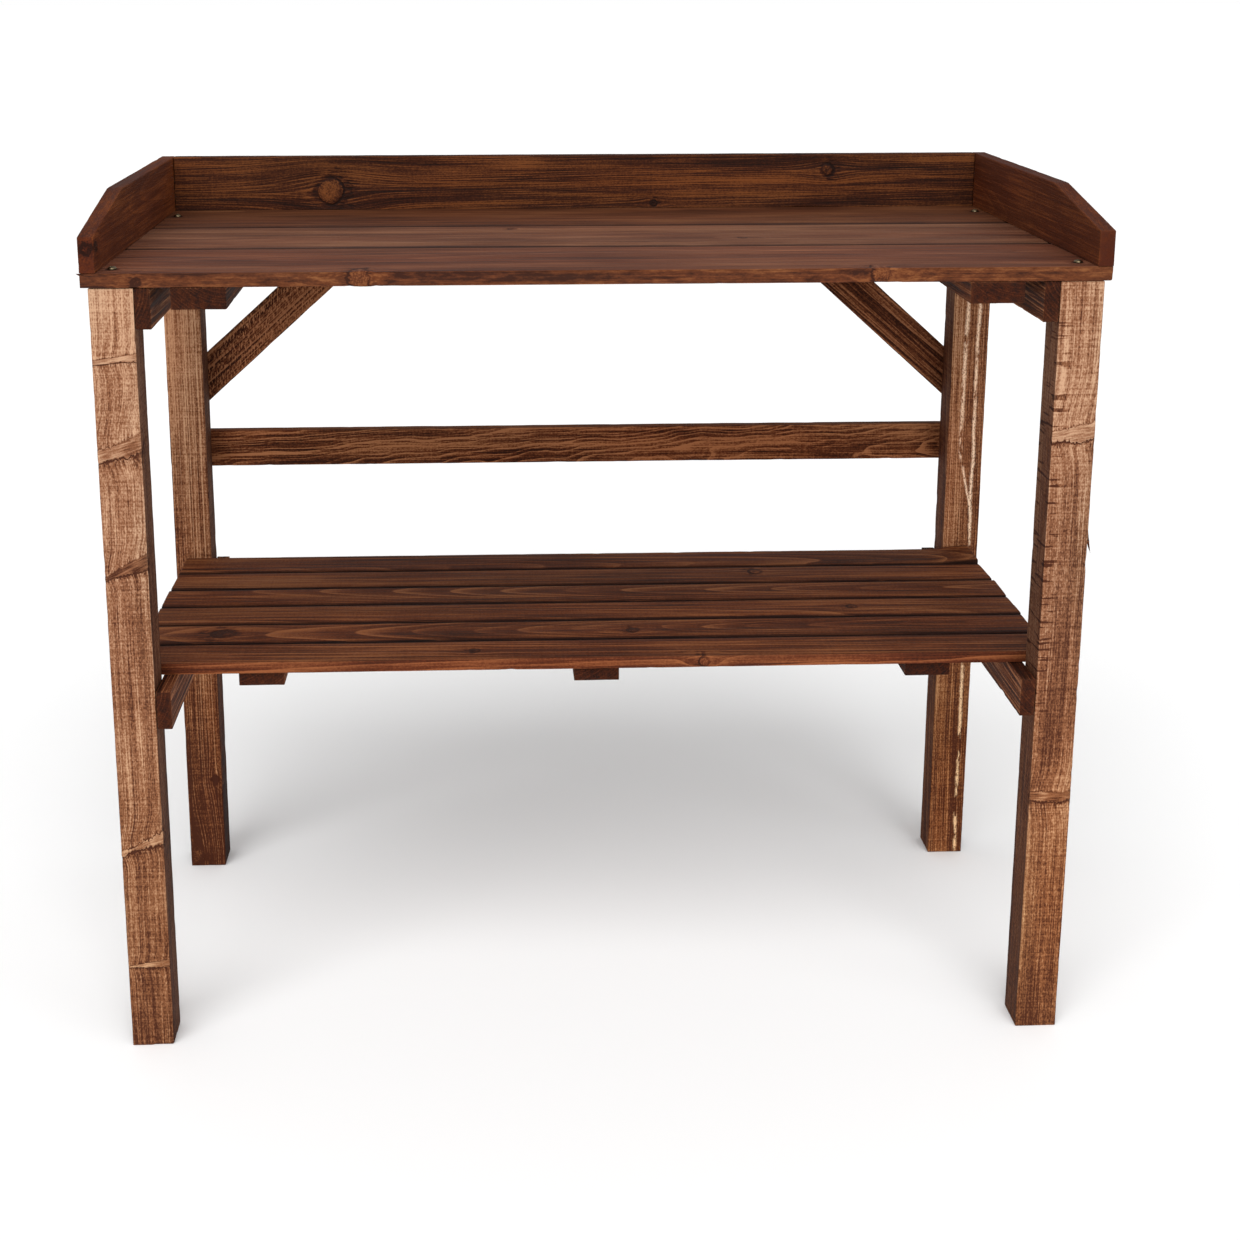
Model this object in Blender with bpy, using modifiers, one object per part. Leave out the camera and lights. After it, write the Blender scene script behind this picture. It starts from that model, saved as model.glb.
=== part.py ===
"""Potting bench: four square legs carry a three-board worktop with low upstands on its
sides and back, a slatted shelf below it, and a rail with two diagonal braces at the back.

Metres, +Z up. X runs along the bench, the front faces -Y and the feet stand on Z = 0.
"""

import math

import bmesh
import bpy

# Overall sizes
WIDTH = 0.980
DEPTH = 0.495
UPSTAND_TOP = 0.871
TOUCH_GAP = 0.0003

# Frame: square legs joined front to back by two thin rails on each side
LEG_SIDE = 0.043
LEG_SPREAD = 0.967
WORKTOP_UNDERSIDE = 0.794
FRONT_OVERHANG = 0.002
FRAME_DEPTH = 0.450
RAIL_THICKNESS = 0.015
RAIL_HEIGHT = 0.040

# Worktop: wide boards side by side, held flat by two battens
WORKTOP_BOARDS = ("front", "middle", "rear")
WORKTOP_THICKNESS = 0.014
WORKTOP_SEAM = 0.0006
WORKTOP_BATTEN_WIDTH = 0.053
WORKTOP_BATTEN_THICKNESS = 0.021
WORKTOP_BATTEN_X = 0.380
BATTEN_SETBACK = 0.001

# Upstands: the side boards slope down to a low front end
UPSTAND_THICKNESS = 0.015
UPSTAND_FRONT_HEIGHT = 0.034
UPSTAND_SLOPE_RUN = 0.158

# Shelf: narrow boards with open joints, between the front and back legs
SHELF_BOARDS = 6
SHELF_UNDERSIDE = 0.390
SHELF_THICKNESS = 0.012
SHELF_LENGTH = 0.944
SHELF_BOARD_WIDTH = 0.057
SHELF_LEG_CLEARANCE = 0.003
SHELF_BATTEN_WIDTH = 0.047
SHELF_BATTEN_THICKNESS = 0.014
SHELF_BATTEN_SPREAD = 0.3415
SHELF_BATTEN_SETBACK = 0.004

# Back: one rail across the legs and a diagonal brace up to the worktop on each side
BACK_TIMBER_THICKNESS = 0.015
BACK_TIMBER_WIDTH = 0.044
BACK_RAIL_BOTTOM = 0.503
BRACE_ANGLE = math.radians(42)
BRACE_UNDERSIDE_AT_LEG = 0.584
BRACE_INSET_FROM_LEG_SIDE = 0.0135

# Screws: one down through the worktop into the top of each leg
SCREW_X = 0.464
SCREW_INSET_Y = 0.026
SCREW_HEAD_RADIUS = 0.0045
SCREW_HEAD_HEIGHT = 0.0025
SCREW_SHANK_RADIUS = 0.0020
SCREW_LENGTH = 0.060
SCREW_POINT_LENGTH = 0.005
SCREW_FACETS = 16

# Edge rounding
SAWN_EDGE = 0.0012
PLANED_EDGE = 0.0008

# Places worked out from the sizes above
LEG_OUTER_X = LEG_SPREAD / 2
LEG_INNER_X = LEG_OUTER_X - LEG_SIDE
FRAME_FRONT_Y = -DEPTH / 2 + FRONT_OVERHANG
FRAME_BACK_Y = FRAME_FRONT_Y + FRAME_DEPTH
WORKTOP_TOP = WORKTOP_UNDERSIDE + WORKTOP_THICKNESS
BACK_TIMBER_Y = FRAME_BACK_Y + TOUCH_GAP + BACK_TIMBER_THICKNESS / 2

SIDES = (("left", -1), ("right", 1))
ROWS = (("front", FRAME_FRONT_Y, 1), ("back", FRAME_BACK_Y, -1))
BOARD_ON_LEG = {"front": "worktop_board_front", "back": "worktop_board_rear"}

# Colour, roughness and metallic value of each kind of timber
FINISHES = {
    "sawn_leg": ((0.36, 0.20, 0.12, 1.0), 0.85, 0.0),
    "worktop_board": ((0.11, 0.050, 0.032, 1.0), 0.55, 0.0),
    "upstand_board": ((0.075, 0.034, 0.022, 1.0), 0.65, 0.0),
    "shelf_board": ((0.085, 0.038, 0.024, 1.0), 0.65, 0.0),
    "stained_rail": ((0.060, 0.027, 0.018, 1.0), 0.75, 0.0),
    "zinc_screw": ((0.45, 0.43, 0.40, 1.0), 0.40, 1.0),
}


def clear_scene():
    for obj in list(bpy.data.objects):
        bpy.data.objects.remove(obj)


def make_collection(name):
    collection = bpy.data.collections.new(name)
    bpy.context.scene.collection.children.link(collection)
    return collection


def make_materials():
    materials = {}
    for name, (colour, roughness, metallic) in FINISHES.items():
        material = bpy.data.materials.new(name)
        material.use_nodes = True
        shader = material.node_tree.nodes["Principled BSDF"]
        shader.inputs["Base Color"].default_value = colour
        shader.inputs["Roughness"].default_value = roughness
        shader.inputs["Metallic"].default_value = metallic
        material.diffuse_color = colour
        materials[name] = material
    return materials


def round_edges(obj, radius):
    bevel = obj.modifiers.new("rounded_edges", "BEVEL")
    bevel.width = radius
    bevel.segments = 2
    bevel.limit_method = "ANGLE"
    bevel.angle_limit = math.radians(30)


def place(obj, location, finish):
    obj.location = location
    obj.data.materials.append(MATERIALS[finish])
    obj.parent = BENCH
    PARTS.objects.link(obj)


def add_timber(name, size, centre, finish, edge=PLANED_EDGE):
    """A squared length of timber, from its size along X, Y and Z and its centre."""
    mesh = bpy.data.meshes.new(name)
    shape = bmesh.new()
    bmesh.ops.create_cube(shape, size=1)
    bmesh.ops.scale(shape, vec=size, verts=shape.verts)
    shape.to_mesh(mesh)
    shape.free()
    obj = bpy.data.objects.new(name, mesh)
    place(obj, centre, finish)
    round_edges(obj, edge)
    return obj


def add_cut_board(name, outline, thickness, location, rotation, finish):
    """A board sawn to a flat outline, which rotation stands up into its place."""
    curve = bpy.data.curves.new(name, "CURVE")
    curve.dimensions = "2D"
    curve.fill_mode = "BOTH"
    curve.extrude = thickness / 2
    spline = curve.splines.new("POLY")
    spline.points.add(len(outline) - 1)
    for point, (across, up) in zip(spline.points, outline):
        point.co = (across, up, 0, 1)
    spline.use_cyclic_u = True
    obj = bpy.data.objects.new(name, curve)
    place(obj, location, finish)
    obj.rotation_euler = rotation
    weld = obj.modifiers.new("weld", "WELD")
    weld.merge_threshold = 0.00001
    round_edges(obj, PLANED_EDGE)
    return obj


def add_legs():
    """The legs stop just under the worktop boards that lie on them."""
    height = WORKTOP_UNDERSIDE - TOUCH_GAP
    size = (LEG_SIDE, LEG_SIDE, height)
    for row, outer_y, inward in ROWS:
        y = outer_y + inward * LEG_SIDE / 2
        for side, sign in SIDES:
            x = sign * (LEG_OUTER_X - LEG_SIDE / 2)
            add_timber(f"leg_{row}_{side}", size, (x, y, height / 2), "sawn_leg", SAWN_EDGE)


def add_side_rails():
    """Two rails on the inner faces of each pair of legs, flush with them front and back."""
    size = (RAIL_THICKNESS, FRAME_DEPTH, RAIL_HEIGHT)
    middle_y = (FRAME_FRONT_Y + FRAME_BACK_Y) / 2
    levels = (("upper", WORKTOP_UNDERSIDE), ("lower", SHELF_UNDERSIDE))
    for level, carried in levels:
        z = carried - TOUCH_GAP - RAIL_HEIGHT / 2
        for side, sign in SIDES:
            x = sign * (LEG_INNER_X - TOUCH_GAP - RAIL_THICKNESS / 2)
            add_timber(f"side_rail_{level}_{side}", size, (x, middle_y, z), "stained_rail")


def add_worktop():
    pitch = DEPTH / len(WORKTOP_BOARDS)
    size = (WIDTH, pitch - WORKTOP_SEAM, WORKTOP_THICKNESS)
    z = WORKTOP_UNDERSIDE + WORKTOP_THICKNESS / 2
    for index, row in enumerate(WORKTOP_BOARDS):
        y = -DEPTH / 2 + pitch * (index + 0.5)
        add_timber(f"worktop_board_{row}", size, (0, y, z), "worktop_board")


def add_worktop_battens():
    size = (WORKTOP_BATTEN_WIDTH, DEPTH - 2 * BATTEN_SETBACK, WORKTOP_BATTEN_THICKNESS)
    z = WORKTOP_UNDERSIDE - TOUCH_GAP - WORKTOP_BATTEN_THICKNESS / 2
    for side, sign in SIDES:
        centre = (sign * WORKTOP_BATTEN_X, 0, z)
        add_timber(f"worktop_batten_{side}", size, centre, "stained_rail")


def add_upstands():
    """Side boards with a sloping front, and a back board that fits between them."""
    bottom = WORKTOP_TOP + TOUCH_GAP
    height = UPSTAND_TOP - bottom
    front = -DEPTH / 2
    outline = (
        (front, 0),
        (DEPTH / 2, 0),
        (DEPTH / 2, height),
        (front + UPSTAND_SLOPE_RUN, height),
        (front, UPSTAND_FRONT_HEIGHT),
    )
    stand_along_y = (math.radians(90), 0, math.radians(90))
    for side, sign in SIDES:
        location = (sign * (WIDTH - UPSTAND_THICKNESS) / 2, 0, bottom)
        name = f"upstand_{side}"
        add_cut_board(name, outline, UPSTAND_THICKNESS, location, stand_along_y, "upstand_board")

    size = (WIDTH - 2 * (UPSTAND_THICKNESS + TOUCH_GAP), UPSTAND_THICKNESS, height)
    centre = (0, (DEPTH - UPSTAND_THICKNESS) / 2, bottom + height / 2)
    add_timber("upstand_back", size, centre, "upstand_board")


def add_shelf():
    """Slats between the front and back legs, laid over the lower side rails."""
    front = FRAME_FRONT_Y + LEG_SIDE + SHELF_LEG_CLEARANCE
    back = FRAME_BACK_Y - LEG_SIDE - SHELF_LEG_CLEARANCE
    pitch = (back - front - SHELF_BOARD_WIDTH) / (SHELF_BOARDS - 1)
    size = (SHELF_LENGTH, SHELF_BOARD_WIDTH, SHELF_THICKNESS)
    z = SHELF_UNDERSIDE + SHELF_THICKNESS / 2
    for index in range(SHELF_BOARDS):
        y = front + SHELF_BOARD_WIDTH / 2 + index * pitch
        add_timber(f"shelf_board_{index + 1}", size, (0, y, z), "shelf_board")

    length = back - front - 2 * SHELF_BATTEN_SETBACK
    size = (SHELF_BATTEN_WIDTH, length, SHELF_BATTEN_THICKNESS)
    z = SHELF_UNDERSIDE - TOUCH_GAP - SHELF_BATTEN_THICKNESS / 2
    for place_name, sign in (*SIDES, ("centre", 0)):
        centre = (sign * SHELF_BATTEN_SPREAD, (front + back) / 2, z)
        add_timber(f"shelf_batten_{place_name}", size, centre, "stained_rail")


def add_back_rail():
    size = (LEG_SPREAD, BACK_TIMBER_THICKNESS, BACK_TIMBER_WIDTH)
    centre = (0, BACK_TIMBER_Y, BACK_RAIL_BOTTOM + BACK_TIMBER_WIDTH / 2)
    add_timber("back_rail", size, centre, "stained_rail")


def add_braces():
    """Braces cut upright behind the leg and level under the worktop."""
    slope = math.tan(BRACE_ANGLE)
    rise = BACK_TIMBER_WIDTH / math.cos(BRACE_ANGLE)
    top = WORKTOP_UNDERSIDE - TOUCH_GAP
    outer = LEG_OUTER_X - BRACE_INSET_FROM_LEG_SIDE
    outer_bottom = BRACE_UNDERSIDE_AT_LEG - (outer - LEG_INNER_X) * slope
    underside_top_x = LEG_INNER_X - (top - BRACE_UNDERSIDE_AT_LEG) / slope
    upper_edge_top_x = LEG_INNER_X - (top - BRACE_UNDERSIDE_AT_LEG - rise) / slope
    outline = (
        (outer, outer_bottom),
        (outer, outer_bottom + rise),
        (upper_edge_top_x, top),
        (underside_top_x, top),
    )
    stand_along_x = (math.radians(90), 0, 0)
    for side, sign in SIDES:
        mirrored = [(sign * across, up) for across, up in outline]
        location = (0, BACK_TIMBER_Y, 0)
        name = f"brace_{side}"
        add_cut_board(
            name, mirrored, BACK_TIMBER_THICKNESS, location, stand_along_x, "stained_rail"
        )


def add_hole_cutter(name, centre_xy):
    """A pin a little thicker and longer than the screw's shank."""
    top = WORKTOP_TOP + SCREW_HEAD_HEIGHT
    bottom = WORKTOP_TOP - SCREW_LENGTH - TOUCH_GAP
    mesh = bpy.data.meshes.new(name)
    shape = bmesh.new()
    radius = SCREW_SHANK_RADIUS + TOUCH_GAP
    bmesh.ops.create_cone(
        shape,
        cap_ends=True,
        segments=SCREW_FACETS,
        radius1=radius,
        radius2=radius,
        depth=top - bottom,
    )
    shape.to_mesh(mesh)
    shape.free()
    cutter = bpy.data.objects.new(name, mesh)
    cutter.location = (*centre_xy, (top + bottom) / 2)
    cutter.hide_render = True
    cutter.display_type = "WIRE"
    CUTTERS.objects.link(cutter)
    return cutter


def cut_hole(obj, cutter):
    boolean = obj.modifiers.new(cutter.name, "BOOLEAN")
    boolean.operation = "DIFFERENCE"
    boolean.solver = "EXACT"
    boolean.object = cutter


def screw_profile():
    """Half section from the crown of the domed head down to the point."""
    arc_steps = 4
    crown = [
        (
            SCREW_HEAD_RADIUS * math.sin(math.pi / 2 * step / arc_steps),
            SCREW_HEAD_HEIGHT * math.cos(math.pi / 2 * step / arc_steps),
        )
        for step in range(arc_steps + 1)
    ]
    shank_bottom = -SCREW_LENGTH + SCREW_POINT_LENGTH
    shank = [(SCREW_SHANK_RADIUS, 0), (SCREW_SHANK_RADIUS, shank_bottom), (0, -SCREW_LENGTH)]
    return crown + shank


def add_screw(name, centre_xy):
    points = [(radius, 0, height) for radius, height in screw_profile()]
    edges = [(index, index + 1) for index in range(len(points) - 1)]
    mesh = bpy.data.meshes.new(name)
    mesh.from_pydata(points, edges, [])
    obj = bpy.data.objects.new(name, mesh)
    place(obj, (*centre_xy, WORKTOP_TOP + TOUCH_GAP), "zinc_screw")
    turn = obj.modifiers.new("turn", "SCREW")
    turn.axis = "Z"
    turn.steps = SCREW_FACETS
    turn.render_steps = SCREW_FACETS
    turn.use_merge_vertices = True
    turn.merge_threshold = 0.00001
    turn.use_normal_calculate = True
    turn.use_smooth_shade = True


def add_worktop_screws():
    for row, outer_y, inward in ROWS:
        y = outer_y + inward * SCREW_INSET_Y
        for side, sign in SIDES:
            centre_xy = (sign * SCREW_X, y)
            cutter = add_hole_cutter(f"screw_hole_{row}_{side}", centre_xy)
            cut_hole(bpy.data.objects[BOARD_ON_LEG[row]], cutter)
            cut_hole(bpy.data.objects[f"leg_{row}_{side}"], cutter)
            add_screw(f"worktop_screw_{row}_{side}", centre_xy)


clear_scene()
PARTS = make_collection("potting_bench")
CUTTERS = make_collection("cutters")
MATERIALS = make_materials()
BENCH = bpy.data.objects.new("bench_origin", None)
PARTS.objects.link(BENCH)

add_legs()
add_side_rails()
add_worktop()
add_worktop_battens()
add_upstands()
add_shelf()
add_back_rail()
add_braces()
add_worktop_screws()
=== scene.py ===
import math
import random

import bpy
import numpy as np
from mathutils import Matrix, Vector, noise


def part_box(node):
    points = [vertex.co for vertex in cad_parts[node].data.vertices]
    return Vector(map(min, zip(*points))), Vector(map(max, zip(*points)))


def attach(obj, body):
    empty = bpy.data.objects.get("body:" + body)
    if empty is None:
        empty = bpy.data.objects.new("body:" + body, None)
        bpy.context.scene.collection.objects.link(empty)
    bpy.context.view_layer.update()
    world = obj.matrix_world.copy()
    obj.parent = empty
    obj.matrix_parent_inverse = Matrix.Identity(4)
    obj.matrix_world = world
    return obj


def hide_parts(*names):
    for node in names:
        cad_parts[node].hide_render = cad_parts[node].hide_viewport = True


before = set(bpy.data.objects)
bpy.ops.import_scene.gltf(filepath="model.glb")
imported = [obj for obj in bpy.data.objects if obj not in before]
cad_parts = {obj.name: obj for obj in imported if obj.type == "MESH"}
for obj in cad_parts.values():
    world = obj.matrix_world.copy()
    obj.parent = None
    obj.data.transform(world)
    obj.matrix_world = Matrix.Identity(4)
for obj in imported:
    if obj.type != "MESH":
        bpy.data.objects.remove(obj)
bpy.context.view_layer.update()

MM = 0.001

# The slope of the side upstands and of the braces, as the CAD has them
UPSTAND_SLOPE_RUN = 0.158
UPSTAND_FRONT_SHARE = 0.034 / 0.0627
BRACE_SLOPE = math.radians(42)
BRACE_WIDTH = 0.044

# Timber: the width of the strip at an arris that is painted paler, as rubbed wear and a painted
# highlight, the gap that keeps the faces flat beside a rounded arris, the share of its radius that
# a knot loses for each metre towards the pith, and the least share that is left
EDGE_BAND = 4 * MM
SUPPORT_LINE = 0.6 * MM
KNOT_TAPER = 18
SLIMMEST_KNOT = 0.35

# Shelf
SHELF_BOARDS = 6
SHELF_CURL = 4 * MM
SKEW_ROOM = 30 * MM

# Screws
HEAD_RINGS = 26
HEAD_SPOKES = 64
HEAD_HEIGHT = 2.5 * MM
RECESS_DEPTH = 1.3 * MM
RECESS_ARM_HALF_WIDTH = 0.55 * MM
RECESS_REACH = 2.3 * MM
SHANK_RADIUS = 2.0 * MM
THREAD_ROOT_RADIUS = 1.45 * MM
THREAD_TURNS = 24
BARE_SHANK = 8 * MM
TIP_RADIUS = 0.3 * MM

# Splinters
SPLINTER_STEPS = 14
SPLINTER_SIDES = 8

# Studio and camera
IMAGE_SIDE = 1240
FOCAL_PIXELS = 1898.2
SENSOR_WIDTH = 36
EYE_PLACE = (-0.1083, -2.0237, 1.0833)
FLOOR_REACH = 60
LAMP_DISTANCE = 4
SURROUND = 0.55

# The frames that the timbers are modelled in: along the grain, across the face, and out of the
# face that is seen most, as directions of the bench.
UP, DOWN = Vector((0, 0, 1)), Vector((0, 0, -1))
RIGHT, LEFT = Vector((1, 0, 0)), Vector((-1, 0, 0))
BACK, FRONT = Vector((0, 1, 0)), Vector((0, -1, 0))
LEG_FRAME = (UP, LEFT, FRONT)
TOP_FRAME = (RIGHT, BACK, UP)
BACKBOARD_FRAME = (RIGHT, UP, FRONT)
LEFT_SIDE_FRAME = (BACK, UP, RIGHT)
RIGHT_SIDE_FRAME = (FRONT, UP, LEFT)
BATTEN_FRAME = (BACK, RIGHT, DOWN)


# ---- Timber meshes ----


def grid_lines(half, step, radius):
    """Cutting planes from -half to half: close together at the rounded arrises, step apart between."""
    near = [0, 0.3 * radius, radius, radius + SUPPORT_LINE]
    inner = half - near[-1]
    count = max(1, round(2 * inner / step))
    middle = np.linspace(-inner, inner, count + 1)
    low = [-half + offset for offset in near[:-1]]
    high = [half - offset for offset in reversed(near[:-1])]
    return np.array([*low, *middle, *high])


def box_grid(lines):
    """Points and quads over the surface of a box that is cut by these planes along its three axes."""
    counts = [len(one) for one in lines]
    index = {}
    points = []
    quads = []

    def corner(key):
        if key not in index:
            index[key] = len(points)
            points.append([lines[axis][key[axis]] for axis in range(3)])
        return index[key]

    for axis in range(3):
        first, second = (axis + 1) % 3, (axis + 2) % 3
        for side in (0, counts[axis] - 1):
            for p in range(counts[first] - 1):
                for q in range(counts[second] - 1):
                    quad = []
                    for dp, dq in ((0, 0), (1, 0), (1, 1), (0, 1)):
                        key = [0, 0, 0]
                        key[axis] = side
                        key[first] = p + dp
                        key[second] = q + dq
                        quad.append(corner(tuple(key)))
                    quads.append(quad if side else quad[::-1])
    return np.array(points), quads


def noise_at(points, stretch, seed):
    """Smooth noise from -1 to 1, with that many waves to the metre along, across and through."""
    scaled = points * np.array(stretch) + seed
    return np.array([noise.noise(point) for point in scaled])


def between(value, low, high):
    """0 below low, 1 above high, and a smooth step between."""
    t = np.clip((value - low) / (high - low), 0, 1)
    return t * t * (3 - 2 * t)


def knot_distance(points, knot):
    """Distance of each point from the knot's axis, in radii of the knot where the point is.

    A branch is a cone, so the radius shrinks along the axis, and past its reach there is no knot.
    """
    axis = Vector(knot["axis"]).normalized()
    offset = points - np.array(knot["at"])
    along = offset @ np.array(axis)
    away = np.linalg.norm(offset - np.outer(along, axis), axis=1)
    away /= np.clip(1 - KNOT_TAPER * abs(axis.y) * along, SLIMMEST_KNOT, None)
    past_reach = np.clip(np.abs(along) - knot["reach"], 0, None)
    return (away + 10 * past_reach) / knot["radius"]


def timber_mesh(name, half, finish, seed, knots, seams, shape):
    """A sawn length of timber with worn arrises, chips, an uneven face and raised knots."""
    lines = [
        grid_lines(half[0], finish["step"], finish["wear"]),
        grid_lines(half[1], finish["cross_step"], finish["wear"]),
        grid_lines(half[2], min(finish["cross_step"], half[2] / 2), finish["wear"]),
    ]
    points, quads = box_grid(lines)
    half = np.array(half)

    # Distance to the nearest arris, for the paler edges of the material: rubbed wear and a painted
    # highlight
    to_faces = np.sort(half - np.abs(points), axis=1)
    edge = np.clip(1 - to_faces[:, 1] / EDGE_BAND, 0, 1)

    # The arrises are rounded by a radius that wanders, with chips where it is largest
    along_arris = points * (1, 0, 0) + np.sign(points) * (0, 3.7, 9.1)
    chips = between(noise_at(along_arris, (finish["chip_waves"], 1, 1), seed), 0.25, 0.75)
    wander = noise_at(along_arris, (11, 1, 1), seed + 17)
    radius = finish["wear"] * (0.55 + 0.25 * wander + finish["chips"] * chips)
    radius = np.minimum(radius, half.min() * 0.8)[:, None]
    inner = np.clip(points, -half + radius, half - radius)
    outward = points - inner
    length = np.linalg.norm(outward, axis=1, keepdims=True)
    outward = np.divide(outward, length, out=np.zeros_like(outward), where=length > 0)
    rounded = inner + outward * radius

    # The face is uneven, mostly inwards from the sawn size, and a seat is filled out downwards
    slow = 0.5 + 0.5 * noise_at(rounded, (7, 22, 22), seed + 31)
    quick = 0.5 + 0.5 * noise_at(rounded, (38, 110, 110), seed + 47)
    depth = finish["uneven"] * (0.7 * slow + 0.3 * quick - 0.25)
    depth -= finish["seat"] * (outward[:, 1] < -0.5)
    lumps = 0.5 + 0.5 * noise_at(rounded, (34, 90, 90), seed + 59)
    depth += finish["lumps"] * lumps * np.abs(outward[:, 1])

    # Each knot is raised or sunk, with a groove round it
    for one in knots:
        distance = knot_distance(rounded, one)
        distance += 0.5 * one["ragged"] * noise_at(rounded, (45, 34, 34), seed + 71)
        groove = one["rim"] * np.exp(-((distance - 1.3) ** 2) * 10)
        swelling = one["proud"] * np.exp(-(distance**2))
        depth += (groove - swelling) * (1 - 0.7 * edge)
    rounded -= outward * depth[:, None]

    # Boards cup a little, so the edges at their seams lie lower than their middle
    at_seam = np.where(rounded[:, 1] < 0, seams[0], seams[1])
    cupped = finish["cup"] * at_seam * (np.abs(rounded[:, 1]) / half[1]) ** 9
    rounded[:, 2] -= cupped * np.clip(rounded[:, 2] / half[2], 0, 1)

    rounded = shape(rounded) if shape else rounded
    mesh = bpy.data.meshes.new(name)
    mesh.from_pydata(rounded.tolist(), [], quads)
    mesh.attributes.new("edge", "FLOAT", "POINT").data.foreach_set("value", edge.astype(np.float32))
    mesh.polygons.foreach_set("use_smooth", [True] * len(mesh.polygons))
    mesh.update()
    return mesh


def knot(
    along, across=0.0, through=0.0, axis=(0, 0, 1), radius=6, tone=0.3, proud=0.3, rim=0.3,
    ragged=0.8, lit_side=1, reach=0.06,
):
    """A knot, from its place in the timber's own frame.

    The place and reach are in metres, and the radius, how far the knot stands proud and the depth
    of its rim in millimetres. The rim has painted shade, least dark towards lit_side, 1 or -1 along
    the grain, where its torn fibres also get a painted highlight.
    """
    return {
        "at": (along, across, through), "axis": axis, "radius": radius * MM, "tone": tone,
        "proud": proud * MM, "rim": rim * MM, "ragged": ragged, "lit_side": lit_side,
        "reach": reach,
    }


# ---- Node helpers ----


def linear(red, green, blue):
    """A colour given in 0 to 255 display values, as the shader takes it."""
    values = []
    for value in (red, green, blue):
        value /= 255
        values.append(value / 12.92 if value <= 0.04045 else ((value + 0.055) / 1.055) ** 2.4)
    return (*values, 1)


class Nodes:
    """Adds nodes to a tree. Every value may be a number, a tuple or another node's output."""

    def __init__(self, tree):
        self.tree = tree

    def add(self, kind, **settings):
        node = self.tree.nodes.new(kind)
        for name, value in settings.items():
            setattr(node, name, value)
        return node

    def feed(self, socket, value):
        if isinstance(value, bpy.types.NodeSocket):
            self.tree.links.new(value, socket)
        else:
            socket.default_value = value

    def math(self, operation, *values, clamp=False):
        node = self.add("ShaderNodeMath", operation=operation, use_clamp=clamp)
        for socket, value in zip(node.inputs, values):
            self.feed(socket, value)
        return node.outputs[0]

    def total(self, *values):
        result = values[0]
        for value in values[1:]:
            result = self.math("ADD", result, value)
        return result

    def times(self, *values):
        result = values[0]
        for value in values[1:]:
            result = self.math("MULTIPLY", result, value)
        return result

    def swing(self, noise, amount):
        """Noise, which runs from 0 to 1, as a change of that amount about nothing."""
        return self.times(self.math("SUBTRACT", noise, 0.5), amount)

    def vector(self, operation, *values):
        node = self.add("ShaderNodeVectorMath", operation=operation)
        for socket, value in zip(node.inputs, values):
            self.feed(socket, value)
        return node.outputs["Value"] if operation in ("DOT_PRODUCT", "LENGTH") else node.outputs[0]

    def scale(self, vector, amount):
        node = self.add("ShaderNodeVectorMath", operation="SCALE")
        self.feed(node.inputs[0], vector)
        self.feed(node.inputs["Scale"], amount)
        return node.outputs[0]

    def noise(self, place, waves, detail=2.0, roughness=0.5, colour=False):
        """Noise with that many waves to the metre along, across and through."""
        node = self.add("ShaderNodeTexNoise")
        self.feed(node.inputs["Vector"], self.vector("MULTIPLY", place, waves))
        node.inputs["Scale"].default_value = 1
        node.inputs["Detail"].default_value = detail
        node.inputs["Roughness"].default_value = roughness
        return node.outputs["Color" if colour else "Fac"]

    def ramp(self, value, low, high, low_out=0.0, high_out=1.0):
        """A smooth step from low_out at low to high_out at high."""
        node = self.add("ShaderNodeMapRange", interpolation_type="SMOOTHSTEP")
        for socket, given in zip(node.inputs, (value, low, high, low_out, high_out)):
            self.feed(socket, given)
        return node.outputs[0]

    def mix(self, factor, first, second, blend="MIX"):
        node = self.add("ShaderNodeMix", data_type="RGBA", blend_type=blend)
        sockets = (node.inputs[0], node.inputs[6], node.inputs[7])
        for socket, value in zip(sockets, (factor, first, second)):
            self.feed(socket, value)
        return node.outputs[2]

    def split(self, vector):
        node = self.add("ShaderNodeSeparateXYZ")
        self.feed(node.inputs[0], vector)
        return node.outputs

    def join(self, x, y, z):
        node = self.add("ShaderNodeCombineXYZ")
        for socket, value in zip(node.inputs, (x, y, z)):
            self.feed(socket, value)
        return node.outputs[0]

    def bump(self, height, distance):
        node = self.add("ShaderNodeBump")
        node.inputs["Strength"].default_value = 1
        node.inputs["Distance"].default_value = distance
        self.feed(node.inputs["Height"], height)
        return node.outputs[0]

    def output(self, name):
        return self.tree.nodes[name]


def group_sockets(tree, inputs, outputs):
    """Gives a node group its sockets, from pairs of name and kind."""
    for direction, sockets in (("INPUT", inputs), ("OUTPUT", outputs)):
        for name, kind in sockets:
            tree.interface.new_socket(name, in_out=direction, socket_type=f"NodeSocket{kind}")


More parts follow.
